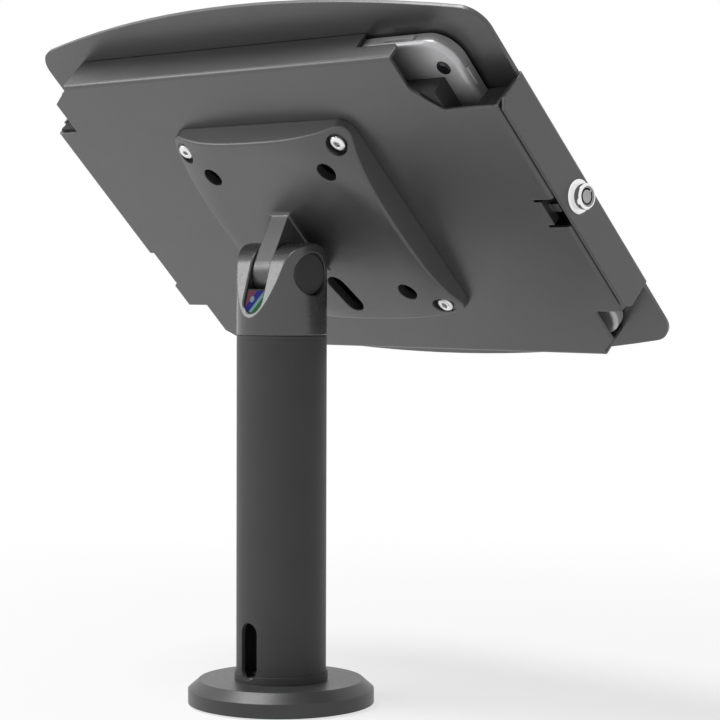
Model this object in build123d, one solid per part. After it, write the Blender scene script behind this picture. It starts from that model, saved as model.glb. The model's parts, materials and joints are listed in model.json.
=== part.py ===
from build123d import *
import math
import os

# Tablet kiosk on a pole: foot, pole, swivel head with a clevis, tilt plate, and a locking sheet enclosure.
# Millimetres. Z is up, the pole stands on the origin, and the screen looks towards -Y and up.
# The enclosure is drawn in its own frame: X to the user's right, Y up the screen, Z towards the user,
# with zero on the rear tray's back at the middle of the screw pattern.

running_gap = 0.05
seat_gap = 0.05
overrun = 2.0

# Foot
base_radius = 43.5
base_side_height = 7.0
base_height = 11.4
base_slope_width = 5.1
base_top_radius = base_radius - base_slope_width
cover_wall = 2.4
cover_lift = 0.6
pad_inset = 2.4
pad_thickness = 1.5
base_plate_thickness = 5.0
base_plate_inset = 1.0
bench_circle_inset = 11.5
bench_circle_radius = base_radius - bench_circle_inset
bench_hole_radius = 2.75
bench_hole_count = 4
cable_bore_radius = 11.0
base_screw_radius = 2.0
base_screw_head_radius = 3.8
base_screw_head_height = 2.1
base_screw_length = 9.0
base_screw_count = 3
collar_height = 3.6
collar_wall = 0.75

# Pole
pole_radius = 21.0
pole_wall = 2.0
pole_length = 163.5
foot_ring_height = 7.0
foot_ring_bore = 13.2
pole_slot_width = 10.0
pole_slot_length = 26.6
pole_slot_low = 12.9

# Swivel bearing
insert_flange_height = 2.0
insert_skirt_depth = 22.0
insert_web_thickness = 12.0
insert_wall = 3.8
insert_recess_radius = pole_radius - pole_wall - insert_wall
bush_wall = 1.9
stud_radius = 7.0
stud_bore_radius = 4.5
stud_thread_length = 7.5
stud_tail = 2.0
swivel_nut_height = 6.0
swivel_nut_flats = 22.0
disc_spring_thickness = 1.6
disc_spring_radius = 11.0
swivel_washer_thickness = 0.3
swivel_washer_inset = 0.8
swivel_washer_width = 2.8
swivel_washer_outer = pole_radius - swivel_washer_inset
swivel_washer_inner = swivel_washer_outer - swivel_washer_width
swivel_limit_degrees = 170.0
stop_pin_radius = 1.4
stop_pin_inset = 7.6
stop_pin_circle = pole_radius - stop_pin_inset
stop_pin_length = 5.0
stop_groove_depth = 2.6
stop_groove_clearance = 0.35

# Head with the clevis
pivot_rise = 28.2
flank_rise = 8.0
crown_radius = 14.5
clevis_slot_width = 12.4
clevis_slot_rise = 10.2
head_edge_round = 1.1
slot_edge_bevel = 0.5
spot_face_radius = 9.9
spot_face_reach = 17.0
counterbore_radius = 7.8
ear_thickness = 4.6
pivot_bolt_radius = 4.0
pivot_head_radius = 6.5
pivot_head_height = 4.4
pivot_socket_radius = 2.5
pivot_socket_depth = 2.6
pivot_nut_flats = 13.0
pivot_nut_height = 4.2
spring_washer_thickness = 1.0
spring_washer_radius = 7.2
cap_thickness = 1.2
cap_clearance = 0.25
plug_recess = 1.1
plug_rise = 11.0
plug_clearance = 0.12

# Tilt plate: a tongue in the clevis and a shallow pan, cast in one
screen_elevation = 45.0
tongue_clearance = 0.5
tongue_nose_inset = 1.2
tongue_nose_radius = crown_radius - tongue_nose_inset
tongue_root_above = 20.5
tongue_root_below = 15.5
tongue_root_round = 2.0
friction_washer_gap = 0.05
friction_washer_radius = 12.6
pivot_bush_wall = 2.0
pivot_to_pan = 19.0
pan_depth = 11.6
pan_offset_x = -9.6
pan_offset_y = 6.9
screw_pattern = 100.0
spare_share = 0.75
pan_margin = 8.6
pan_half = screw_pattern / 2 + pan_margin
pan_taper = 2.3
pan_foot_corner = 8.0
pan_top_corner = 4.2
pan_flat_radius = screw_pattern / 2
pan_fall_radius = 59.0
pan_rim_round = 1.3
pan_floor = 4.4
pan_wall = 3.6
pan_rib = 3.0
spare_hole_radius = 5.0
boss_radius = 8.4
screw_pocket_radius = 5.3
screw_pocket_depth = 6.2
screw_radius = 2.0
screw_hole_radius = 2.25
screw_head_radius = 4.0
screw_head_height = 2.3
screw_head_edge = 0.7
screw_drive_radius = 1.25
screw_drive_depth = 1.4
cable_slot_width = 11.0
cable_slot_length = 23.0
cable_slot_lean = 13.0
cable_slot_x = 3.5
cable_slot_y = -39.0

# The tablet that the enclosure is made for
tablet_half_width = 125.3
tablet_half_height = 87.05
tablet_corner = 13.0
tablet_thickness = 7.5
tablet_wall = 1.0
tablet_back_round = 2.4
glass_thickness = 1.0
glass_inset = 0.4
battery_inset_x = 29.3
battery_inset_y = 21.0
battery_half_width = tablet_half_width - battery_inset_x
battery_half_height = tablet_half_height - battery_inset_y
battery_thickness = 4.0
lens_inset_x = 9.0
lens_inset_y = 13.7
lens_x = tablet_half_width - lens_inset_x
lens_y = tablet_half_height - lens_inset_y
lens_radius = 3.2
lens_height = 0.8
lens_edge = 0.3
lens_clearance = 0.1
port_half_width = 4.5
port_height = 2.6
port_depth = 4.0
volume_inset = 27.3
volume_x = tablet_half_width - volume_inset
volume_length = 17.0
power_inset = 21.0
power_y = tablet_half_height - power_inset
power_length = 9.0
button_height = 2.4
button_depth = 1.6
button_proud = 0.6
button_travel = 0.4
button_clearance = 0.1

# Rear tray: folded sheet, open towards the screen, its corners left open
tray_side_room = 18.0
tray_end_room = 2.25
tray_half_width = tablet_half_width + tray_side_room
tray_half_height = tablet_half_height + tray_end_room
tray_depth = 18.0
tray_sheet = 1.5
tray_bend = 2.2
side_wall_inset = 29.0
side_wall_half = tray_half_height - side_wall_inset
corner_step_width = 15.3
corner_step_height = 10.3
corner_step_x = tray_half_width - corner_step_width
corner_step_y = tray_half_height - corner_step_height
upper_corner_chamfer = 13.5
lower_corner_chamfer = 9.6
camera_cut_beside_lens = 14.1
camera_cut_below_lens = 13.9
camera_cut_x = lens_x - camera_cut_beside_lens
camera_cut_y = lens_y - camera_cut_below_lens
camera_cut_chamfer = 11.8
camera_cut_round = 4.0
low_wall_length = 25.2
top_wall_full_end = camera_cut_x - low_wall_length
top_wall_low = 9.0
low_wall_round = 3.0
pocket_depth = 7.5
pocket_half = 8.25
pocket_y = -1.0
pocket_slit_length = 11.5
strike_half = 6.5
strike_gap = 0.4
strike_lip_half = 2.2
strike_lip_reach = 4.6
strike_lip_thickness = 1.3
exit_above_wall_end = 13.3
exit_length = 24.7
exit_low = exit_above_wall_end - side_wall_half
exit_high = exit_low + exit_length
exit_inset = 4.4
exit_height = 10.0
tray_cable_hole_radius = 16.0
tray_cable_hole_y = -34.0
tray_nut_radius = 3.6
tray_nut_height = 3.0

# Door: flat frame with two side flanges, hinged on the user's right
frame_gap = 0.3
frame_sheet = 2.0
frame_side_cover = 0.5
frame_end_cover = 6.0
frame_arch_rise = 15.3
frame_half_width = tray_half_width + frame_side_cover
frame_corner_height = tray_half_height + frame_end_cover
frame_apex = frame_corner_height + frame_arch_rise
frame_corner_round = 13.0
window_inset_x = 16.3
window_inset_y = 5.0
window_half_width = tablet_half_width - window_inset_x
window_half_height = tablet_half_height - window_inset_y
window_round = 6.0
flange_gap = 1.2
flange_sheet = 1.5
flange_bend = 1.8
flange_end_cover = 0.5
flange_half = side_wall_half + flange_end_cover
flange_back_gap = 0.4
flange_corner = 3.5

# Door hinge: two short barrels on pins
hinge_rise = 6.5
hinge_pin_radius = 0.9
knuckle_radius = 1.8
knuckle_length = 5.6
knuckle_gap = 0.3
knuckle_inset = 1.3
knuckle_top = side_wall_half - knuckle_inset
knuckle_clearance = 0.2
knuckle_leaf = 1.4

# Cam lock in the flange on the user's left
lock_rise = 10.3
lock_bezel_radius = 7.5
lock_bezel_height = 1.3
lock_barrel_radius = 5.65
lock_barrel_height = 5.3
lock_edge = 0.6
lock_thread_radius = 5.0
lock_thread_length = 5.2
lock_nut_flats = 12.6
lock_nut_height = 1.9
lock_plug_radius = 4.4
lock_plug_recess = 0.5
key_ring_radius = 3.3
key_ring_width = 0.9
key_ring_depth = 2.4
cam_thickness = 1.4
cam_hub_radius = 3.6
cam_hook_inner = 7.2
cam_hook_outer = 8.6
cam_hook_start = -25.0
cam_hook_end = 50.0
cam_arm_angle = 15.0
cam_gap = 0.3
cam_screw_radius = 2.2
cam_screw_height = 1.0

# Foam that holds the tablet
pad_beside_lens = 2.7
pad_below_lens = 4.9
pad_corner_x = lens_x - pad_beside_lens
pad_corner_y = lens_y - pad_below_lens
pad_width = 30.0
pad_height = 24.0
side_foam_cover = 1.2
side_foam_half = side_wall_half + side_foam_cover
side_foam_gap = 0.2
side_foam_floor = 0.6
lock_room_half = 13.0
exit_room = 3.0

# Places that follow from the sizes above
plate_z = pad_thickness
foot_ring_z = plate_z + base_plate_thickness
pole_z = foot_ring_z
pole_inner = pole_radius - pole_wall
pole_top = pole_z + pole_length
insert_top = pole_top + insert_flange_height
head_z = insert_top + swivel_washer_thickness
pivot_z = head_z + pivot_rise
flank_z = head_z + flank_rise
slot_half = clevis_slot_width / 2
slot_bottom = head_z + clevis_slot_rise
insert_web_z = insert_top - insert_web_thickness
bush_radius = stud_radius + running_gap + bush_wall
tongue_half = slot_half - tongue_clearance
ear_face = slot_half + ear_thickness
pan_z = pivot_to_pan + pan_depth
frame_z = tray_depth + frame_gap
glass_z = tray_depth - glass_thickness
tablet_z = tray_depth - tablet_thickness
flange_inner = tray_half_width + flange_gap
flange_outer = flange_inner + flange_sheet
hinge_x = flange_inner + flange_sheet / 2
hinge_z = hinge_rise
pattern_half = screw_pattern / 2
spare_half = pattern_half * spare_share
half_turn = 180.0
full_turn = 360.0
eighth_turn = full_turn / 8

tilt_frame = Plane(
    origin=(0, 0, pivot_z),
    x_dir=(1, 0, 0),
    z_dir=(
        0,
        -math.cos(math.radians(screen_elevation)),
        math.sin(math.radians(screen_elevation)),
    ),
)
enclosure = Location(tilt_frame) * Pos(pan_offset_x, pan_offset_y, pan_z)
pivot_in_enclosure = Pos(-pan_offset_x, -pan_offset_y, -pan_z)
upright = (Align.CENTER, Align.CENTER, Align.MIN)


def rod(radius, height, z=0.0):
    return Pos(0, 0, z) * Cylinder(radius, height, align=upright)


def ring(outer, inner, height, z=0.0):
    return rod(outer, height, z) - rod(inner, height + overrun, z - overrun / 2)


def hexagon(flats, height, z=0.0):
    face = RegularPolygon(flats / 2, 6, major_radius=False)
    return Pos(0, 0, z) * extrude(face, height)


def block(x_low, x_high, y_low, y_high, z_low, z_high):
    size = (x_high - x_low, y_high - y_low, z_high - z_low)
    return Pos(x_low, y_low, z_low) * Box(*size, align=(Align.MIN, Align.MIN, Align.MIN))


def around(shape, count, turn=0.0):
    return [Rot(0, 0, turn + full_turn * index / count) * shape for index in range(count)]


def corners(half_x, half_y):
    return [(x, y) for x in (-half_x, half_x) for y in (-half_y, half_y)]


def cut_each(body, tools):
    for tool in tools:
        body = body - tool
    return body


def slot_cutter(half, length, depth):
    # An upright round-ended prism, its long side along the second axis
    return extrude(Rot(0, 0, half_turn / 2) * SlotOverall(length, half + half), depth)


# The foot: rubber pad, steel plate, turned cover, and the screws that hold the pole

def foot_pad():
    pad = ring(base_radius - pad_inset, cable_bore_radius, pad_thickness)
    holes = around(Pos(bench_circle_radius, 0, -overrun) * rod(bench_hole_radius + seat_gap,
                   pad_thickness + overrun + overrun), bench_hole_count, eighth_turn)
    heads = around(Pos(foot_screw_circle(), 0, -overrun) * rod(base_screw_head_radius + seat_gap,
                   pad_thickness + overrun + overrun), base_screw_count)
    return cut_each(pad, holes + heads)


def foot_screw_circle():
    return (pole_inner + foot_ring_bore) / 2


def foot_screw(grow=0.0):
    shank = rod(base_screw_radius + grow, base_screw_length)
    head = Cone(base_screw_head_radius + grow, base_screw_radius + grow, base_screw_head_height,
                align=upright)
    return shank + head


def base_plate():
    radius = base_radius - cover_wall - base_plate_inset
    plate = ring(radius, cable_bore_radius, base_plate_thickness, plate_z)
    bench = around(Pos(bench_circle_radius, 0, plate_z - overrun) * rod(bench_hole_radius,
                   base_plate_thickness + overrun + overrun), bench_hole_count, eighth_turn)
    screws = around(Pos(foot_screw_circle(), 0, plate_z) * foot_screw(seat_gap), base_screw_count)
    return cut_each(plate, bench + screws)


def base_screws():
    return Compound(around(Pos(foot_screw_circle(), 0, plate_z) * foot_screw(), base_screw_count))


def pole_foot_ring():
    body = ring(pole_inner - seat_gap, foot_ring_bore, foot_ring_height, foot_ring_z)
    screws = around(Pos(foot_screw_circle(), 0, plate_z) * foot_screw(seat_gap), base_screw_count)
    return cut_each(body, screws)


def base_cover():
    bore = pole_radius + seat_gap
    inner = base_radius - cover_wall
    inner_top = base_top_radius - cover_wall / 2
    ceiling = base_height - cover_wall
    slope = Polyline(
        (bore, ceiling),
        (bore, base_height),
        (base_top_radius, base_height),
        (base_radius, base_side_height),
        (base_radius, cover_lift),
        (inner, cover_lift),
        (inner, base_side_height - cover_wall / 2),
        (inner_top, ceiling),
        close=True,
    )
    return revolve(Plane.XZ * make_face(slope), Axis.Z)


def slot_void():
    # The rear cable slot of the pole, which the collar shares
    cutter = slot_cutter(pole_slot_width / 2, pole_slot_length, pole_radius + overrun)
    return Pos(0, 0, pole_slot_low + pole_slot_length / 2) * Rot(-half_turn / 2, 0, 0) * cutter


def foot_collar():
    inner = pole_radius + seat_gap
    body = ring(inner + collar_wall, inner, collar_height, base_height)
    return body - slot_void()


# The pole and the swivel bearing in its top

def pole_tube():
    tube = ring(pole_radius, pole_inner, pole_length, pole_z)
    return tube - slot_void()


def stop_web_angle():
    pin = math.degrees(math.asin(stop_pin_radius / stop_pin_circle))
    return half_turn - swivel_limit_degrees - pin


def pole_top_insert():
    skirt = rod(pole_inner - seat_gap, insert_skirt_depth, insert_top - insert_skirt_depth)
    flange = rod(pole_radius, insert_flange_height, pole_top)
    body = skirt + flange
    recess_depth = insert_skirt_depth - insert_web_thickness
    body -= rod(insert_recess_radius, recess_depth + overrun, insert_web_z - recess_depth - overrun)
    body -= rod(bush_radius + seat_gap, insert_web_thickness + overrun + overrun, insert_web_z - overrun)
    reach = stop_pin_radius + stop_groove_clearance
    groove = ring(stop_pin_circle + reach, stop_pin_circle - reach, stop_groove_depth + overrun,
                  insert_top - stop_groove_depth)
    half_web = stop_pin_circle * math.sin(math.radians(stop_web_angle()))
    web = block(-half_web, half_web, 0, pole_radius, pole_top - stop_groove_depth, insert_top + overrun)
    return body - (groove - web)


def swivel_bush():
    return ring(bush_radius, stud_radius + running_gap, insert_web_thickness, insert_web_z)


def swivel_washer():
    return ring(swivel_washer_outer, swivel_washer_inner, swivel_washer_thickness - running_gap, insert_top)


def disc_spring():
    z = insert_web_z - running_gap - disc_spring_thickness
    return ring(disc_spring_radius, stud_radius + seat_gap, disc_spring_thickness, z)


def swivel_nut_z():
    return insert_web_z - running_gap - disc_spring_thickness - swivel_nut_height


def swivel_nut():
    z = swivel_nut_z()
    return hexagon(swivel_nut_flats, swivel_nut_height, z) - rod(
        stud_radius + seat_gap, swivel_nut_height + overrun + overrun, z - overrun)


def swivel_stud():
    low = swivel_nut_z() - stud_tail
    high = head_z + stud_thread_length
    return ring(stud_radius, stud_bore_radius, high - low, low)


def stop_pin():
    low = insert_top - stop_groove_depth + stop_groove_clearance
    return Pos(0, -stop_pin_circle, low) * rod(stop_pin_radius, stop_pin_length)


# The head: a cylinder cut to a clevis whose crown is round about the pivot

def clevis_profile(inset):
    half = pole_radius - inset
    crown = crown_radius - inset
    drop = pivot_z - flank_z
    touch = math.acos(crown / math.hypot(half, drop)) - math.atan2(drop, half)
    touch_y = crown * math.cos(touch)
    touch_z = pivot_z + crown * math.sin(touch)
    sides = Polyline(
        (touch_y, touch_z),
        (half, flank_z),
        (half, head_z),
        (-half, head_z),
        (-half, flank_z),
        (-touch_y, touch_z),
    )
    crest = ThreePointArc((-touch_y, touch_z), (0, pivot_z + crown), (touch_y, touch_z))
    return Plane.YZ * make_face(sides + crest)


def clevis_slot(shrink=0.0):
    half = slot_half - shrink
    centre = slot_bottom + shrink + half
    top = pivot_z + crown_radius + overrun
    reach = pole_radius + overrun
    floor = Pos(0, 0, centre) * Rot(half_turn / 2, 0, 0) * Cylinder(half, reach + reach)
    return floor + block(-half, half, -reach, reach, centre, top)


def head_fork():
    body = extrude(clevis_profile(0), pole_radius + overrun, both=True)
    body = body & rod(pole_radius, pivot_rise + crown_radius + overrun, head_z)
    edges = [edge for edge in body.edges() if edge.bounding_box().max.Z > flank_z + head_edge_round]
    body = fillet(edges, head_edge_round)
    body -= clevis_slot()
    mouths = [edge for edge in body.edges()
              if edge.bounding_box().max.Z > slot_bottom
              and abs(edge.center().X) < slot_half + seat_gap
              and abs(edge.center().Y) > crown_radius / 2]
    body = chamfer(mouths, slot_edge_bevel)
    for side in (1, -1):
        turn = Pos(0, 0, pivot_z) * Rot(0, side * half_turn / 2, 0)
        body -= turn * rod(spot_face_radius, overrun + pole_radius, spot_face_reach)
        body -= turn * rod(counterbore_radius, pole_radius, ear_face)
        body -= turn * rod(pivot_bolt_radius + seat_gap, pole_radius)
    body -= rod(stud_radius + seat_gap, stud_thread_length + seat_gap + overrun, head_z - overrun)
    body -= rod(stud_bore_radius, clevis_slot_rise + slot_half, head_z)
    pin_top = insert_top - stop_groove_depth + stop_groove_clearance + stop_pin_length
    pin_hole = rod(stop_pin_radius + seat_gap, pin_top - head_z + seat_gap + overrun, head_z - overrun)
    return body - Pos(0, -stop_pin_circle, 0) * pin_hole


def slot_plug():
    # Closes the bottom of the slot behind the tongue's sweep
    body = extrude(clevis_profile(plug_recess), slot_half, both=True) & clevis_slot(plug_clearance)
    body = body & block(-slot_half, slot_half, 0, pole_radius, slot_bottom, slot_bottom + plug_rise)
    sweep = Rot(0, half_turn / 2, 0) * Cylinder(tongue_nose_radius + tongue_clearance, pole_radius)
    body -= Pos(0, 0, pivot_z) * sweep
    return body - rod(stud_bore_radius + tongue_clearance, pivot_rise, head_z)


def along_pivot(shape, side):
    return Pos(0, 0, pivot_z) * Rot(0, side * half_turn / 2, 0) * shape


def pivot_bolt():
    head_face = ear_face + spring_washer_thickness + seat_gap
    nut_end = head_face + pivot_nut_height
    shank = rod(pivot_bolt_radius, head_face + nut_end, -nut_end)
    head = rod(pivot_head_radius, pivot_head_height, head_face)
    socket = hexagon(pivot_socket_radius + pivot_socket_radius, pivot_socket_depth + overrun,
                     head_face + pivot_head_height - pivot_socket_depth)
    return along_pivot(shank + head - socket, 1)


def pivot_nut():
    face = ear_face + spring_washer_thickness + seat_gap
    nut = hexagon(pivot_nut_flats, pivot_nut_height, face)
    nut -= rod(pivot_bolt_radius + seat_gap, pivot_nut_height + overrun + overrun, face - overrun)
    return along_pivot(nut, -1)


def spring_washers():
    washer = ring(spring_washer_radius, pivot_bolt_radius + seat_gap, spring_washer_thickness, ear_face)
    return Compound([along_pivot(washer, side) for side in (1, -1)])


def friction_washers():
    gap = friction_washer_gap
    inner_face = tongue_half + gap
    washer = ring(friction_washer_radius, pivot_bolt_radius + seat_gap, tongue_clearance - gap - gap,
                  inner_face)
    return Compound([along_pivot(washer, side) for side in (1, -1)])


def pivot_caps():
    disc = rod(spot_face_radius - cap_clearance, cap_thickness, spot_face_reach)
    return Compound([along_pivot(disc, side) for side in (1, -1)])


# The tilt plate, drawn in the enclosure's frame

def pan_outline(half, corner):
    return RectangleRounded(half + half, half + half, corner)


def pan_crown(inset):
    # Everything under the pan's face, which is flat inside the screw pattern and falls away outside it
    top = -pan_depth + inset
    fall = pan_fall_radius - inset
    centre = top + fall
    side = math.hypot(pan_half, pan_half)
    reach = side - pan_flat_radius
    foot = centre - math.sqrt(fall * fall - reach * reach)
    middle = centre - math.sqrt(fall * fall - reach * reach / 4)
    flat = Polyline((side, foot), (side, pan_depth), (0, pan_depth), (0, top), (pan_flat_radius, top))
    bend = ThreePointArc((pan_flat_radius, top), (pan_flat_radius + reach / 2, middle), (side, foot))
    return revolve(Plane.XZ * make_face(flat + bend), Axis.Z)


def tangent_point(half):
    # Where a flank that ends at the pan leaves the round about the pivot
    nose = tongue_nose_radius
    angle = math.acos(nose / math.hypot(half, pivot_to_pan)) - math.atan2(pivot_to_pan, half)
    return nose * math.cos(angle), nose * math.sin(angle)


def tongue():
    # Round about the pivot, with flat flanks that run to the pan's face
    root = pivot_to_pan + pan_floor / 2
    above = tangent_point(tongue_root_above)
    below = tangent_point(tongue_root_below)
    flanks = Polyline(
        (above[0], -above[1]),
        (tongue_root_above, pivot_to_pan),
        (tongue_root_above, root),
        (-tongue_root_below, root),
        (-tongue_root_below, pivot_to_pan),
        (-below[0], -below[1]),
    )
    nose = ThreePointArc((-below[0], -below[1]), (0, -tongue_nose_radius), (above[0], -above[1]))
    blade = extrude(Plane.YZ * make_face(flanks + nose), tongue_half, both=True)
    return pivot_in_enclosure * blade


def on_pan_rim(edge):
    # The edges between the pan's face and its four tapered sides
    places = [edge @ share for share in (0, 0.5, 1)]
    inside = min(max(abs(place.X), abs(place.Y)) for place in places)
    lowest = max(place.Z for place in places)
    return inside > pan_half - pan_taper - pan_top_corner and lowest < -pan_rim_round - pan_rim_round


def tilt_plate():
    top_half = pan_half - pan_taper
    body = loft([Pos(0, 0, -pan_depth) * pan_outline(top_half, pan_top_corner),
                 pan_outline(pan_half, pan_foot_corner)])
    body = body & pan_crown(0)
    rim = [edge for edge in body.edges() if on_pan_rim(edge)]
    body = fillet(rim, pan_rim_round)
    hollow_half = top_half - pan_wall
    hollow_outline = pan_outline(hollow_half, pan_foot_corner - pan_wall)
    hollow = Pos(0, 0, pan_floor - pan_depth) * extrude(hollow_outline, pan_depth + overrun)
    for x, y in corners(pattern_half, pattern_half):
        hollow -= Pos(x, y, -pan_depth) * rod(boss_radius, pan_depth)
    for y in (-pattern_half / 2, pattern_half / 2):
        hollow -= block(-pan_half, pan_half, y - pan_rib / 2, y + pan_rib / 2, -pan_depth, 0)
    body -= hollow
    body += tongue()
    face = -pan_depth
    root_edges = [edge for edge in body.edges()
                  if abs(edge.center().Z - face) < seat_gap
                  and edge.bounding_box().size.Z < seat_gap
                  and abs(edge.center().X + pan_offset_x) < tongue_half + seat_gap
                  and abs(edge.center().Y + pan_offset_y) < tongue_root_above + seat_gap]
    body = fillet(root_edges, tongue_root_round)
    for x, y in corners(pattern_half, pattern_half):
        body -= Pos(x, y, face - overrun) * rod(screw_pocket_radius, screw_pocket_depth + overrun)
        body -= Pos(x, y, face) * rod(screw_hole_radius, pan_depth + overrun)
    for x, y in corners(spare_half, spare_half):
        body -= Pos(x, y, face - overrun) * rod(spare_hole_radius, pan_floor + overrun + overrun)
    lean = Pos(cable_slot_x, cable_slot_y, face - overrun) * Rot(0, 0, -cable_slot_lean)
    body -= lean * slot_cutter(cable_slot_width / 2, cable_slot_length, pan_floor + overrun + overrun)
    bush_hole = rod(pivot_bolt_radius + running_gap + pivot_bush_wall, clevis_slot_width, -slot_half)
    return body - pivot_in_enclosure * Rot(0, half_turn / 2, 0) * bush_hole


def pivot_bush():
    inner = pivot_bolt_radius + running_gap
    length = tongue_half + tongue_half
    bush = ring(inner + pivot_bush_wall - seat_gap, inner, length, -tongue_half)
    return pivot_in_enclosure * Rot(0, half_turn / 2, 0) * bush


def pan_screws():
    z = -pan_depth + screw_pocket_depth
    length = -z + tray_sheet + tray_nut_height
    head = rod(screw_head_radius, screw_head_height, z - screw_head_height)
    head = chamfer(head.edges().group_by(Axis.Z)[0], screw_head_edge)
    drive = hexagon(screw_drive_radius + screw_drive_radius, screw_drive_depth + overrun,
                    z - screw_head_height - overrun)
    screw = head + rod(screw_radius, length, z) - drive
    return Compound([Pos(x, y, 0) * screw for x, y in corners(pattern_half, pattern_half)])


def tray_nuts():
    nut = ring(tray_nut_radius, screw_radius + seat_gap, tray_nut_height, tray_sheet)
    return Compound([Pos(x, y, 0) * nut for x, y in corners(pattern_half, pattern_half)])


# The rear tray

def channel(half, length):
    # A folded U of sheet: walls on both sides of X, drawn along Y
    outer = Pos(0, tray_depth / 2) * Rectangle(half + half, tray_depth)
    outer = fillet(outer.vertices().group_by(Axis.Y)[0], tray_bend)
    inner_half = half - tray_sheet
    inner = Pos(0, tray_sheet + tray_depth / 2) * Rectangle(inner_half + inner_half, tray_depth)
    inner = fillet(inner.vertices().group_by(Axis.Y)[0], tray_bend - tray_sheet)
    return extrude(Plane.XZ * (outer - inner), length, both=True)


def tray_sheet_outline():
    upper_x = corner_step_x - upper_corner_chamfer
    lower_x = corner_step_x - lower_corner_chamfer
    top = tray_half_height - tray_bend
    right = [(lower_x, -top), (corner_step_x, -corner_step_y), (corner_step_x, corner_step_y), (upper_x, top)]
    left = [(-x, y) for x, y in right[::-1]]
    return extrude(make_face(Polyline(*right, *left, close=True)), tray_sheet)


def camera_cut():
    # The open corner behind the tablet's camera
    far = tray_half_width + overrun
    above = camera_cut_y + camera_cut_chamfer
    beside = -camera_cut_x - camera_cut_chamfer
    cut = make_face(Polyline((-camera_cut_x, far), (-camera_cut_x, above), (beside, camera_cut_y),
                             (-far, camera_cut_y), (-far, far), close=True))
    bends = [vertex for vertex in cut.vertices() if vertex.X > -far + overrun and vertex.Y < far - overrun]
    cut = fillet(bends, camera_cut_round)
    return Pos(0, 0, -overrun) * extrude(cut, tray_depth + overrun + overrun)


def end_walls():
    # The walls along the top and the bottom; near the camera the top one is only a low ledge
    upper_x = corner_step_x - upper_corner_chamfer
    lower_x = corner_step_x - lower_corner_chamfer
    body = Rot(0, 0, half_turn / 2) * channel(tray_half_height, lower_x)
    start = tray_half_height - tray_bend - overrun
    end = tray_half_height + overrun
    above = tray_depth + overrun
    body -= block(-lower_x - overrun, -top_wall_full_end, start, end, top_wall_low, above)
    body -= block(upper_x, lower_x + overrun, start, end, -overrun, above)
    round_x = low_wall_round - camera_cut_x
    round_z = top_wall_low - low_wall_round
    nose = block(-lower_x - overrun, round_x, start, end, round_z, above)
    nose -= Pos(round_x, 0, round_z) * Rot(-half_turn / 2, 0, 0) * rod(low_wall_round, end + overrun)
    return body - nose


def rear_tray():
    body = channel(tray_half_width, side_wall_half)
    body += end_walls()
    body += tray_sheet_outline()
    body -= camera_cut()
    above = tray_depth + overrun
    # Lock pocket, its slits and the strike bent up from the sheet
    edge = -tray_half_width
    body -= block(edge - overrun, edge + pocket_depth, pocket_y - pocket_half, pocket_y + pocket_half,
                  -overrun, above)
    slit_end = edge + pocket_slit_length
    for low, high in ((-pocket_half, -strike_half), (strike_half, pocket_half)):
        body -= block(edge, slit_end, pocket_y + low, pocket_y + high, -overrun, tray_sheet + overrun)
    strike_x = edge + pocket_depth + strike_gap
    lip_z = lock_rise - cam_hook_inner + strike_gap
    lip_top = lip_z + strike_lip_thickness
    body += block(strike_x, strike_x + tray_sheet, pocket_y - strike_half, pocket_y + strike_half, 0, lip_top)
    body -= block(edge, strike_x, pocket_y - strike_half, pocket_y + strike_half, -overrun, tray_sheet)
    body += block(strike_x - strike_lip_reach, strike_x + tray_sheet, pocket_y - strike_lip_half,
                  pocket_y + strike_lip_half, lip_z, lip_top)
    # Cable exit beside the hinge, cable hole, and the screw pattern
    body -= block(tray_half_width - exit_inset, tray_half_width + overrun, exit_low, exit_high,
                  -overrun, exit_height)
    body -= Pos(0, tray_cable_hole_y, -overrun) * rod(tray_cable_hole_radius, tray_sheet + overrun + overrun)
    for x, y in corners(pattern_half, pattern_half):
        body -= Pos(x, y, -overrun) * rod(screw_hole_radius, tray_sheet + overrun + overrun)
    for y in (knuckle_top, -knuckle_top + knuckle_length):
        body += tray_knuckle(y)
    return body


# The hinge

def barrel(radius, low, length):
    return Pos(hinge_x, low, hinge_z) * Rot(-half_turn / 2, 0, 0) * rod(radius, length)


def tray_knuckle(top):
    low = top - knuckle_length
    leaf = block(tray_half_width - tray_sheet / 2, hinge_x, low, top, hinge_z - knuckle_leaf / 2,
                 hinge_z + knuckle_leaf / 2)
    body = barrel(knuckle_radius, low, knuckle_length) + leaf
    return body - barrel(hinge_pin_radius + seat_gap, low - overrun, knuckle_length + overrun + overrun)


def door_knuckle_low(upper):
    # The door's barrels sit on the inner side of the tray's
    if upper:
        return knuckle_top - knuckle_length - knuckle_gap - knuckle_length
    return -knuckle_top + knuckle_length + knuckle_gap


def hinge_pins():
    span = knuckle_length + knuckle_gap + knuckle_length
    pins = [barrel(hinge_pin_radius, low, span) for low in (knuckle_top - span, -knuckle_top)]
    return Compound(pins)


# The door

def frame_outline():
    half = frame_half_width
    top = ThreePointArc((half, frame_corner_height), (0, frame_apex), (-half, frame_corner_height))
    bottom = ThreePointArc((-half, -frame_corner_height), (0, -frame_apex), (half, -frame_corner_height))
    left = Line((-half, frame_corner_height), (-half, -frame_corner_height))
    right = Line((half, -frame_corner_height), (half, frame_corner_height))
    face = make_face(Wire([top, left, bottom, right]))
    return fillet(face.vertices(), frame_corner_round)


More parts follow.
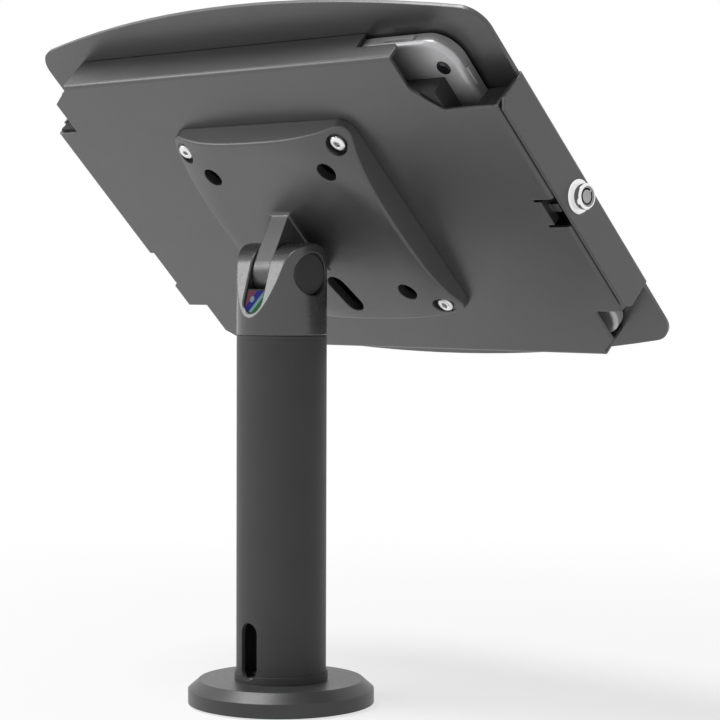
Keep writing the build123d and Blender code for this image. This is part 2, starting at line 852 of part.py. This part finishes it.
def side_flange():
    # On the user's right; the other one is its mirror image
    low = flange_back_gap
    front = frame_z + frame_sheet
    face = Pos(0, low) * Rectangle(flange_half + flange_half, front - low, align=(Align.CENTER, Align.MIN))
    face = chamfer(face.vertices().group_by(Axis.Y)[0], flange_corner)
    body = Pos(flange_inner, 0, 0) * extrude(Plane.YZ * face, flange_sheet)
    body += block(frame_half_width - overrun, flange_outer, -flange_half, flange_half, frame_z, front)
    fold = [edge for edge in body.edges()
            if abs(edge.center().X - flange_outer) < seat_gap and abs(edge.center().Z - front) < seat_gap]
    return fillet(fold, flange_bend)


def front_frame():
    window = RectangleRounded(window_half_width + window_half_width,
                              window_half_height + window_half_height, window_round)
    body = Pos(0, 0, frame_z) * extrude(frame_outline() - window, frame_sheet)
    body += side_flange() + mirror(side_flange(), Plane.YZ)
    reach = flange_outer + overrun
    # Hinge side: room for the tray's barrels, the cable exit, and the door's own barrels
    clear = hinge_z + knuckle_radius + knuckle_clearance
    body -= block(flange_inner - overrun, reach, -reach, reach, -overrun, hinge_z)
    spans = ((knuckle_top - knuckle_length - knuckle_gap, reach),
             (-reach, -knuckle_top + knuckle_length + knuckle_gap))
    for low, high in spans:
        body -= block(flange_inner - overrun, reach, low, high, -overrun, clear)
    body -= block(flange_inner - overrun, reach, exit_low, exit_high, -overrun, exit_height)
    for upper in (True, False):
        low = door_knuckle_low(upper)
        body += barrel(knuckle_radius, low, knuckle_length)
        body -= barrel(hinge_pin_radius + running_gap, low - overrun,
                       knuckle_length + overrun + overrun)
    hole = rod(lock_thread_radius + seat_gap, flange_sheet + overrun + overrun,
               flange_inner - overrun)
    return body - lock_axis() * hole


# The lock, drawn along its own axis and turned to point out of the user's left flange

def lock_axis():
    return Pos(0, pocket_y, lock_rise) * Rot(0, -half_turn / 2, 0)


def lock_body():
    bezel = rod(lock_bezel_radius, lock_bezel_height, flange_outer)
    bezel = chamfer(bezel.edges().group_by(Axis.Z)[-1], lock_edge)
    barrel_part = rod(lock_barrel_radius, lock_barrel_height, flange_outer)
    barrel_part = chamfer(barrel_part.edges().group_by(Axis.Z)[-1], lock_edge)
    thread = rod(lock_thread_radius, lock_thread_length, flange_outer - lock_thread_length)
    hole = rod(lock_plug_radius + running_gap, lock_thread_length + lock_barrel_height + overrun + overrun,
               flange_outer - lock_thread_length - overrun)
    return lock_axis() * (bezel + barrel_part + thread - hole)


def lock_nut():
    z = flange_inner - lock_nut_height
    nut = hexagon(lock_nut_flats, lock_nut_height, z)
    return lock_axis() * (nut - rod(lock_thread_radius + seat_gap, lock_nut_height + overrun + overrun,
                                    z - overrun))


def cam_z():
    return flange_outer - lock_thread_length - cam_gap - cam_thickness


def lock_plug():
    low = cam_z() + cam_thickness
    high = flange_outer + lock_barrel_height - lock_plug_recess
    body = rod(lock_plug_radius, high - low, low)
    groove = ring(key_ring_radius + key_ring_width / 2, key_ring_radius - key_ring_width / 2,
                  key_ring_depth + overrun, high - key_ring_depth)
    key_nib = block(0, lock_plug_radius, -key_ring_width / 2, key_ring_width / 2, high - key_ring_depth,
                    high)
    return lock_axis() * (body - (groove - key_nib))


def lock_cam():
    # A hook about the lock's axis that swings behind the strike's lip
    def sector(radius, start, end):
        steps = [start, (start + end) / 2, end]
        at = [(radius * math.sin(math.radians(a)), radius * math.cos(math.radians(a))) for a in steps]
        edges = [Line((0, 0), at[0]), ThreePointArc(*at), Line(at[2], (0, 0))]
        return make_face(Wire(edges))

    hook = sector(cam_hook_outer, cam_hook_start, cam_hook_end) - Circle(cam_hook_inner)
    arm = sector(cam_hook_outer, cam_hook_end - cam_arm_angle, cam_hook_end)
    flat = hook + arm + Circle(cam_hub_radius)
    return lock_axis() * Pos(0, 0, cam_z()) * extrude(flat, cam_thickness)


def cam_screw():
    return lock_axis() * rod(cam_screw_radius, cam_screw_height, cam_z() - cam_screw_height)


# The tablet and its foam

def tablet_slab(inset, z_low, z_high):
    width = tablet_half_width - inset
    height = tablet_half_height - inset
    face = RectangleRounded(width + width, height + height, tablet_corner - inset)
    return Pos(0, 0, z_low) * extrude(face, z_high - z_low)


def button_z():
    return (tablet_z + glass_z) / 2 + tablet_wall / 2


def button(length, grow=0.0):
    # Drawn on the edge at zero, sticking out along Y
    low = button_z() - button_height / 2 - grow
    high = button_z() + button_height / 2 + grow
    half = length / 2 + grow
    return block(-half, half, -button_depth, button_proud, low, high)


def on_top_edge(shape):
    return Pos(-volume_x, tablet_half_height, 0) * shape


def on_left_edge(shape):
    return Pos(-tablet_half_width, power_y, 0) * Rot(0, 0, half_turn / 2) * shape


def tablet_shell():
    body = tablet_slab(0, tablet_z, glass_z)
    body = fillet(body.edges().group_by(Axis.Z)[0], tablet_back_round)
    body -= tablet_slab(tablet_back_round, tablet_z + tablet_wall, glass_z + overrun)
    body -= Pos(-lens_x, lens_y, tablet_z - overrun) * rod(lens_radius + lens_clearance,
                                                           tablet_wall + overrun + overrun)
    port = block(tablet_half_width - port_depth, tablet_half_width + overrun, -port_half_width,
                 port_half_width, button_z() - port_height / 2, button_z() + port_height / 2)
    body -= port
    body -= on_top_edge(button(volume_length, button_clearance))
    return body - on_left_edge(button(power_length, button_clearance))


def tablet_glass():
    return tablet_slab(glass_inset, glass_z, tray_depth)


def tablet_battery():
    size = (battery_half_width, battery_half_height)
    return block(-size[0], size[0], -size[1], size[1], tablet_z + tablet_wall,
                 tablet_z + tablet_wall + battery_thickness)


def camera_lens():
    body = rod(lens_radius, tablet_wall + lens_height, tablet_z - lens_height)
    body = chamfer(body.edges().group_by(Axis.Z)[0], lens_edge)
    return Pos(-lens_x, lens_y, 0) * body


def volume_button():
    return on_top_edge(Pos(0, button_travel, 0) * button(volume_length))


def power_button():
    return on_left_edge(Pos(0, button_travel, 0) * button(power_length))


def corner_pads():
    pads = []
    for side_x in (-1, 1):
        for side_y in (-1, 1):
            pad = block(pad_corner_x - pad_width, pad_corner_x, pad_corner_y - pad_height, pad_corner_y,
                        tray_sheet, tablet_z)
            if side_x > 0:
                pad = mirror(pad, Plane.YZ)
            if side_y > 0:
                pad = mirror(pad, Plane.XZ)
            pads.append(pad)
    return Compound(pads)


def side_foams():
    inner = tablet_half_width + side_foam_gap
    outer = tray_half_width - tray_sheet - side_foam_gap
    low = tray_sheet + side_foam_floor
    high = tray_depth - side_foam_gap
    lock_low = pocket_y - lock_room_half
    lock_high = pocket_y + lock_room_half
    blocks = [
        block(-outer, -inner, lock_high, power_y - power_length - overrun, low, high),
        block(-outer, -inner, -side_foam_half, lock_low, low, high),
        block(inner, outer, exit_high + exit_room, side_foam_half, low, high),
        block(inner, outer, -side_foam_half, exit_low - exit_room, low, high),
    ]
    return Compound(blocks)


stand_pieces = {
    "foot_pad": foot_pad,
    "base_plate": base_plate,
    "base_screws": base_screws,
    "pole_foot_ring": pole_foot_ring,
    "base_cover": base_cover,
    "foot_collar": foot_collar,
    "pole_tube": pole_tube,
    "pole_top_insert": pole_top_insert,
    "swivel_bush": swivel_bush,
    "swivel_washer": swivel_washer,
    "disc_spring": disc_spring,
    "swivel_nut": swivel_nut,
    "swivel_stud": swivel_stud,
    "stop_pin": stop_pin,
    "head_fork": head_fork,
    "slot_plug": slot_plug,
    "pivot_bolt": pivot_bolt,
    "pivot_nut": pivot_nut,
    "spring_washers": spring_washers,
    "friction_washers": friction_washers,
    "pivot_caps": pivot_caps,
}

enclosure_pieces = {
    "tilt_plate": tilt_plate,
    "pivot_bush": pivot_bush,
    "pan_screws": pan_screws,
    "tray_nuts": tray_nuts,
    "rear_tray": rear_tray,
    "hinge_pins": hinge_pins,
    "front_frame": front_frame,
    "lock_body": lock_body,
    "lock_nut": lock_nut,
    "lock_plug": lock_plug,
    "lock_cam": lock_cam,
    "cam_screw": cam_screw,
    "tablet_shell": tablet_shell,
    "tablet_glass": tablet_glass,
    "tablet_battery": tablet_battery,
    "camera_lens": camera_lens,
    "volume_button": volume_button,
    "power_button": power_button,
    "corner_pads": corner_pads,
    "side_foams": side_foams,
}

os.makedirs("parts", exist_ok=True)
for name, make in stand_pieces.items():
    export_step(make(), f"parts/{name}.step")
for name, make in enclosure_pieces.items():
    export_step(enclosure * make(), f"parts/{name}.step")
print("pivot height", pivot_z)
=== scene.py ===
import json
import math

import bpy
from mathutils import Matrix, Vector

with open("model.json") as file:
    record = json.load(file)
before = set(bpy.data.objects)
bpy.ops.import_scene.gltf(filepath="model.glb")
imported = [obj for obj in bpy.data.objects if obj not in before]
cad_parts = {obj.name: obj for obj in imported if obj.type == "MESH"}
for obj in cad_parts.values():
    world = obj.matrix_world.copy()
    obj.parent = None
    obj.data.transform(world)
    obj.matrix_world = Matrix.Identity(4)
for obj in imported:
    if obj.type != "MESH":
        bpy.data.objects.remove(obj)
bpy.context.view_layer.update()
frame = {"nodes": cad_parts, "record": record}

# Camera, solved from the screw patterns on the tilt plate. Lengths are in metres, angles in degrees.
photo_pixels = 720
sensor_width = 36.0
focal_pixels = 2242.6
camera_swing = 46.21
camera_distance = 1.04488
camera_height = 0.19932
camera_yaw = 2.0
camera_pitch = -2.125
camera_roll = 0.184
camera_near = 0.01
camera_far = 50.0

# Light. A lamp's place is told outward to the camera, to the camera's left, and up.
white = (1.0, 1.0, 1.0, 1.0)
world_level = 0.22
lamp_target_height = 0.2
top_lamp_place = (0.1, 0.65, 1.8)
top_lamp_size = 1.0
top_lamp_power = 28
left_lamp_place = (-0.2, 1.35, 0.76)
left_lamp_size = 0.5
left_lamp_power = 3

# Floor. It keeps the shadow near the foot and turns into the white background further out.
floor_radius = 4.0
floor_sides = 96
floor_drop = 0.0002
floor_fade_start = 0.16
floor_fade_end = 0.75
floor_shadow_share = 0.3

# Noise: where its useful range starts and ends, and how rough its finer layers are
noise_low_share = 0.3
noise_high_share = 0.7
noise_roughness = 0.55

# Coats, in linear colour: the head's and the sheets' is darker than the pole's, but mirrors more.
head_coat = (0.036, 0.036, 0.037)
head_coat_light = (0.044, 0.044, 0.045)
pole_coat = (0.066, 0.066, 0.067)
pole_coat_light = (0.074, 0.074, 0.075)
coat_roughness_spread = 0.02
coat_grain_strength = 0.22
fork_grain_strength = 0.08
turned_edge = 0.0005
cast_edge = 0.0008
small_edge = 0.0002
bevel_samples = 6

# Screw heads: the shade painted into the colour of their pockets, and the rounding that makes them dome
pocket_reach = 0.006
pocket_samples = 8
pocket_painted_shade_share = 0.45
pocket_lit_share = 0.95
screw_head_edge = 0.0018

# The plug's label in the slot, in metres of the part's frame. Stripe rates are per metre.
label_half_width = 0.0052
label_low = 0.1825
label_high = 0.1928
label_outer_face = 0.0100
label_middle = (label_low + label_high) / 2
label_half_height = (label_high - label_low) / 2
stripe_rate_across = 62.0
stripe_rate_up = 48.0
stripe_middle_share = 0.5
stripe_tints = (
    (0.0, (0.01, 0.09, 0.02)),
    (0.28, (0.14, 0.27, 0.31)),
    (0.42, (0.006, 0.006, 0.15)),
    (0.70, (0.12, 0.03, 0.06)),
)
disc_place_x = 0.0016
disc_rise = 0.0012
disc_radius = 0.00145
disc_tint = (0.18, 0.24, 0.26, 1.0)


def grey(level):
    return (level, level, level)


def turned(first, second, degrees):
    angle = math.radians(degrees)
    moved = math.cos(angle) * first + math.sin(angle) * second
    other = math.cos(angle) * second - math.sin(angle) * first
    return moved, other


def make_camera():
    """Stand the camera at the photograph's place and give the direction from the part to it."""
    swing = math.radians(camera_swing)
    outward = Vector((-math.sin(swing), math.cos(swing), 0))
    place = outward * camera_distance + Vector((0, 0, camera_height))
    ahead = -outward
    right = ahead.cross(Vector((0, 0, 1)))
    up = Vector((0, 0, 1))
    ahead, right = turned(ahead, right, camera_yaw)
    ahead, up = turned(ahead, up, camera_pitch)
    right, up = turned(right, up, camera_roll)
    data = bpy.data.cameras.new("camera")
    data.sensor_width = sensor_width
    data.lens = focal_pixels * sensor_width / photo_pixels
    data.clip_start = camera_near
    data.clip_end = camera_far
    camera = bpy.data.objects.new("camera", data)
    rows = Matrix((right, up, -ahead)).transposed()
    camera.matrix_world = Matrix.Translation(place) @ rows.to_4x4()
    bpy.context.scene.collection.objects.link(camera)
    bpy.context.scene.camera = camera
    return outward


class Tree:
    """A node tree with short calls for what the materials, the world and the floor need."""

    def __init__(self, owner):
        owner.use_nodes = True
        self.tree = owner.node_tree
        self.tree.nodes.clear()

    def node(self, kind, **settings):
        made = self.tree.nodes.new("ShaderNode" + kind)
        for name, value in settings.items():
            setattr(made, name, value)
        return made

    def link(self, source, target):
        self.tree.links.new(source, target)

    def put(self, socket, value):
        if hasattr(value, "default_value"):
            self.link(value, socket)
        else:
            socket.default_value = value

    def fill(self, made, **values):
        """Link or set the node's inputs by name, with _ where the name has a space."""
        for name, value in values.items():
            self.put(made.inputs[name.replace("_", " ")], value)
        return made

    def math(self, operation, first, second=0.0):
        made = self.node("Math", operation=operation)
        self.put(made.inputs[0], first)
        self.put(made.inputs[1], second)
        return made.outputs[0]

    def coordinates(self):
        return self.node("TexCoord").outputs["Object"]

    def noise(self, scale, detail):
        made = self.node("TexNoise")
        self.fill(made, Vector=self.coordinates(), Scale=scale, Detail=detail, Roughness=noise_roughness)
        return made.outputs["Fac"]

    def ramp(self, factor, low, high, start=noise_low_share, end=noise_high_share):
        made = self.node("ValToRGB")
        for element, position, colour in zip(made.color_ramp.elements, (start, end), (low, high)):
            element.position = position
            element.color = (*colour, 1)
        self.link(factor, made.inputs[0])
        return made.outputs[0]

    def stripes(self, factor, tints):
        made = self.node("ValToRGB")
        made.color_ramp.interpolation = "CONSTANT"
        while len(made.color_ramp.elements) < len(tints):
            made.color_ramp.elements.new(stripe_middle_share)
        for element, (position, colour) in zip(made.color_ramp.elements, tints):
            element.position = position
            element.color = (*colour, 1)
        self.link(factor, made.inputs[0])
        return made.outputs[0]

    def between(self, factor, low, high, start=noise_low_share, end=noise_high_share, kind="LINEAR"):
        made = self.node("MapRange", interpolation_type=kind)
        self.fill(made, Value=factor, From_Min=start, From_Max=end, To_Min=low, To_Max=high)
        return made.outputs[0]

    def mix(self, factor, first, second):
        return self.fill(self.node("MixRGB"), Fac=factor, Color1=first, Color2=second).outputs[0]

    def bump(self, height, strength, distance, edge_radius=0.0):
        made = self.fill(self.node("Bump"), Height=height, Strength=strength, Distance=distance)
        if edge_radius:
            bevel = self.fill(self.node("Bevel", samples=bevel_samples), Radius=edge_radius)
            self.fill(made, Normal=bevel.outputs[0])
        return made.outputs[0]

    def seen_share(self):
        """One for what is seen, also mirrored or through glass, and zero for what only lights the part."""
        path = self.node("LightPath")
        seen = self.math("MAXIMUM", path.outputs["Is Camera Ray"], path.outputs["Is Glossy Ray"])
        return self.math("MAXIMUM", seen, path.outputs["Is Transmission Ray"])

    def surface(self, shader, out_kind="OutputMaterial"):
        self.link(shader.outputs[0], self.node(out_kind).inputs["Surface"])

    def shader(self, **values):
        self.surface(self.fill(self.node("BsdfPrincipled"), **values))


def material(name):
    made = bpy.data.materials.new(name)
    return made, Tree(made)


def powder_coat(name, low, high, edge_radius, specular, roughness, grain_strength=coat_grain_strength):
    made, tree = material(name)
    smooth = roughness - coat_roughness_spread
    rough = roughness + coat_roughness_spread
    grain = tree.noise(scale=1700.0, detail=2.0)
    tree.shader(
        Base_Color=tree.ramp(tree.noise(scale=38.0, detail=4.0), low, high),
        Roughness=tree.between(tree.noise(scale=420.0, detail=2.0), smooth, rough),
        Specular_IOR_Level=specular,
        Normal=tree.bump(grain, strength=grain_strength, distance=0.00012, edge_radius=edge_radius),
    )
    return made


def metal(name, low, high, smooth, rough):
    made, tree = material(name)
    grain = tree.noise(scale=900.0, detail=2.0)
    tree.shader(
        Base_Color=tree.ramp(tree.noise(scale=160.0, detail=4.0), low, high),
        Metallic=1.0,
        Roughness=tree.between(tree.noise(scale=620.0, detail=3.0), smooth, rough),
        Normal=tree.bump(grain, strength=0.06, distance=0.00005, edge_radius=small_edge),
    )
    return made


def metal_with_painted_pocket_shade(name, shaded, lit, smooth, rough):
    # Painted shade: ambient occlusion makes the colour bright where the head lies open and darker down in
    # its pocket
    made, tree = material(name)
    painted_pocket_shade = tree.fill(tree.node("AmbientOcclusion", samples=pocket_samples), Distance=pocket_reach)
    grain = tree.noise(scale=900.0, detail=2.0)
    tree.shader(
        Base_Color=tree.ramp(painted_pocket_shade.outputs["AO"], shaded, lit, pocket_painted_shade_share, pocket_lit_share),
        Metallic=1.0,
        Roughness=tree.between(tree.noise(scale=620.0, detail=3.0), smooth, rough),
        Normal=tree.bump(grain, strength=0.04, distance=0.00003, edge_radius=screw_head_edge),
    )
    return made


def plug_label(name):
    # Black plastic with slanting stripes and a pale disc on its outer face
    made, tree = material(name)
    axes = tree.fill(tree.node("SeparateXYZ"), Vector=tree.coordinates())
    x, y, z = axes.outputs
    height = tree.math("SUBTRACT", z, label_middle)
    across = tree.math("MULTIPLY", x, stripe_rate_across)
    slant = tree.math("ADD", across, tree.math("MULTIPLY", height, stripe_rate_up))
    stripes = tree.stripes(tree.math("ADD", slant, stripe_middle_share), stripe_tints)
    beside = tree.math("SUBTRACT", x, disc_place_x)
    above = tree.math("SUBTRACT", height, disc_rise)
    squares = tree.math("ADD", tree.math("MULTIPLY", beside, beside), tree.math("MULTIPLY", above, above))
    disc = tree.math("LESS_THAN", squares, disc_radius ** 2)
    drawn = tree.mix(disc, stripes, disc_tint)
    in_width = tree.math("LESS_THAN", tree.math("ABSOLUTE", x), label_half_width)
    in_height = tree.math("LESS_THAN", tree.math("ABSOLUTE", height), label_half_height)
    in_face = tree.math("GREATER_THAN", y, label_outer_face)
    inside = tree.math("MULTIPLY", tree.math("MULTIPLY", in_width, in_height), in_face)
    plain = tree.ramp(tree.noise(scale=60.0, detail=3.0), low=grey(0.018), high=grey(0.026))
    grain = tree.noise(scale=1500.0, detail=2.0)
    tree.shader(
        Base_Color=tree.mix(inside, plain, drawn),
        Specular_IOR_Level=0.15,
        Roughness=tree.between(tree.noise(scale=300.0, detail=2.0), low=0.50, high=0.60),
        Normal=tree.bump(grain, strength=0.1, distance=0.00003, edge_radius=small_edge),
    )
    return made


def plastic(name, low, high, smooth, rough, grain_scale, grain_depth):
    made, tree = material(name)
    grain = tree.noise(scale=grain_scale, detail=3.0)
    tree.shader(
        Base_Color=tree.ramp(tree.noise(scale=60.0, detail=3.0), low, high),
        Roughness=tree.between(tree.noise(scale=300.0, detail=2.0), smooth, rough),
        Normal=tree.bump(grain, strength=0.35, distance=grain_depth, edge_radius=small_edge),
    )
    return made


def satin_shell(name):
    # Blasted aluminium: partly diffuse, so that it stays light where little is mirrored in it
    made, tree = material(name)
    clouds = tree.noise(scale=25.0, detail=2.0)
    grain = tree.noise(scale=2400.0, detail=2.0)
    tree.shader(
        Base_Color=tree.ramp(clouds, low=(0.52, 0.52, 0.53), high=(0.56, 0.56, 0.57)),
        Metallic=0.45,
        Roughness=tree.between(tree.noise(scale=140.0, detail=2.0), low=0.34, high=0.40),
        Normal=tree.bump(grain, strength=0.05, distance=0.00002),
    )
    return made


def glass(name):
    made, tree = material(name)
    clouds = tree.noise(scale=12.0, detail=2.0)
    waves = tree.noise(scale=25.0, detail=1.0)
    tree.shader(
        Base_Color=tree.ramp(clouds, low=(0.006, 0.006, 0.008), high=(0.010, 0.010, 0.013)),
        Roughness=tree.between(tree.noise(scale=90.0, detail=3.0), low=0.03, high=0.07),
        Normal=tree.bump(waves, strength=0.02, distance=0.0001),
    )
    return made


coats = {
    "powder_coat_steel": dict(low=pole_coat, high=pole_coat_light, edge_radius=turned_edge,
                              specular=0.20, roughness=0.50),
    "powder_coat_alloy": dict(low=head_coat, high=head_coat_light, edge_radius=cast_edge,
                              specular=1.0, roughness=0.33),
    "fork_coat": dict(low=head_coat, high=head_coat_light, edge_radius=cast_edge,
                      specular=0.9, roughness=0.26, grain_strength=fork_grain_strength),
    "cover_coat": dict(low=head_coat, high=head_coat_light, edge_radius=turned_edge,
                       specular=0.50, roughness=0.38),
}

metals = {
    "lock_core": dict(low=grey(0.32), high=grey(0.40), smooth=0.24, rough=0.34),
    "zinc_steel": dict(low=(0.50, 0.50, 0.48), high=(0.62, 0.62, 0.60), smooth=0.28, rough=0.40),
    "bright_chrome": dict(low=(0.82, 0.82, 0.83), high=grey(0.90), smooth=0.08, rough=0.16),
    "bronze": dict(low=(0.52, 0.36, 0.16), high=(0.62, 0.45, 0.22), smooth=0.28, rough=0.40),
}

plastics = {
    "black_rubber": dict(low=grey(0.018), high=grey(0.028), smooth=0.60, rough=0.75,
                         grain_scale=900.0, grain_depth=0.0002),
    "black_foam": dict(low=grey(0.030), high=grey(0.045), smooth=0.85, rough=0.95,
                       grain_scale=700.0, grain_depth=0.0006),
    "black_plastic": dict(low=grey(0.018), high=grey(0.026), smooth=0.42, rough=0.55,
                          grain_scale=1500.0, grain_depth=0.0001),
    "bearing_plastic": dict(low=(0.60, 0.59, 0.54), high=(0.68, 0.67, 0.62), smooth=0.40, rough=0.50,
                            grain_scale=800.0, grain_depth=0.0001),
    "battery_pack": dict(low=grey(0.05), high=grey(0.07), smooth=0.5, rough=0.6,
                         grain_scale=500.0, grain_depth=0.0001),
}

# Pieces that wear another finish than their material slot's
own_finish = {
    "head_fork": "fork_coat",
    "base_cover": "cover_coat",
    "pan_screws": "screw_steel",
    "lock_plug": "lock_core",
    "slot_plug": "plug_label",
}


def make_materials():
    made = {name: powder_coat(name, **values) for name, values in coats.items()}
    made.update({name: metal(name, **values) for name, values in metals.items()})
    made.update({name: plastic(name, **values) for name, values in plastics.items()})
    # The screw heads' colour carries painted shade in their pockets, taken from ambient occlusion
    made["screw_steel"] = metal_with_painted_pocket_shade("screw_steel", shaded=grey(0.30), lit=(0.84, 0.84, 0.83),
                                         smooth=0.10, rough=0.16)
    made["plug_label"] = plug_label("plug_label")
    made["silver_aluminium"] = satin_shell("silver_aluminium")
    made["screen_glass"] = glass("screen_glass")
    made["lens_glass"] = glass("lens_glass")
    return made


def dress_nodes(materials):
    for part in frame["record"]["subparts"]:
        node = frame["nodes"][part["node"]]
        finish = materials[own_finish.get(part["node"], part["material_slot"])]
        if not node.material_slots:
            node.data.materials.append(finish)
        for place in node.material_slots:
            place.material = finish


def make_world():
    world = bpy.data.worlds.new("studio")
    bpy.context.scene.world = world
    tree = Tree(world)
    strength = tree.math("ADD", tree.math("MULTIPLY", tree.seen_share(), 1.0 - world_level), world_level)
    tree.surface(tree.fill(tree.node("Background"), Color=white, Strength=strength), "OutputWorld")


def make_floor():
    bpy.ops.mesh.primitive_circle_add(vertices=floor_sides, radius=floor_radius, fill_type="NGON",
                                      location=(0, 0, -floor_drop))
    floor = bpy.context.object
    floor.name = "floor"
    made, tree = material("floor_paper")
    length = tree.node("VectorMath", operation="LENGTH")
    tree.link(tree.node("NewGeometry").outputs["Position"], length.inputs[0])
    fade = tree.between(length.outputs["Value"], 1.0 - floor_shadow_share, 1.0,
                        floor_fade_start, floor_fade_end, "SMOOTHSTEP")
    tone = tree.ramp(tree.noise(scale=30.0, detail=2.0), low=grey(0.88), high=grey(0.90))
    paper = tree.fill(tree.node("BsdfDiffuse"), Color=tone)
    glow = tree.node("Emission")
    mix = tree.node("MixShader")
    tree.link(tree.math("MULTIPLY", tree.seen_share(), fade), mix.inputs[0])
    tree.link(paper.outputs[0], mix.inputs[1])
    tree.link(glow.outputs[0], mix.inputs[2])
    tree.surface(mix)
    floor.data.materials.append(made)


def make_lamp(name, place, size, power, outward):
    ahead, left, height = place
    side = Vector((outward.y, -outward.x, 0))
    spot = outward * ahead + side * left + Vector((0, 0, height))
    target = Vector((0, 0, lamp_target_height))
    data = bpy.data.lights.new(name, "AREA")
    data.shape = "DISK"
    data.size = size
    data.energy = power
    made = bpy.data.objects.new(name, data)
    made.location = spot
    made.rotation_mode = "QUATERNION"
    made.rotation_quaternion = (target - spot).to_track_quat("-Z", "Y")
    bpy.context.scene.collection.objects.link(made)


bpy.context.scene.view_settings.view_transform = "Standard"
outward = make_camera()
make_world()
make_floor()
make_lamp("top_lamp", top_lamp_place, top_lamp_size, top_lamp_power, outward)
make_lamp("left_lamp", left_lamp_place, left_lamp_size, left_lamp_power, outward)
dress_nodes(make_materials())
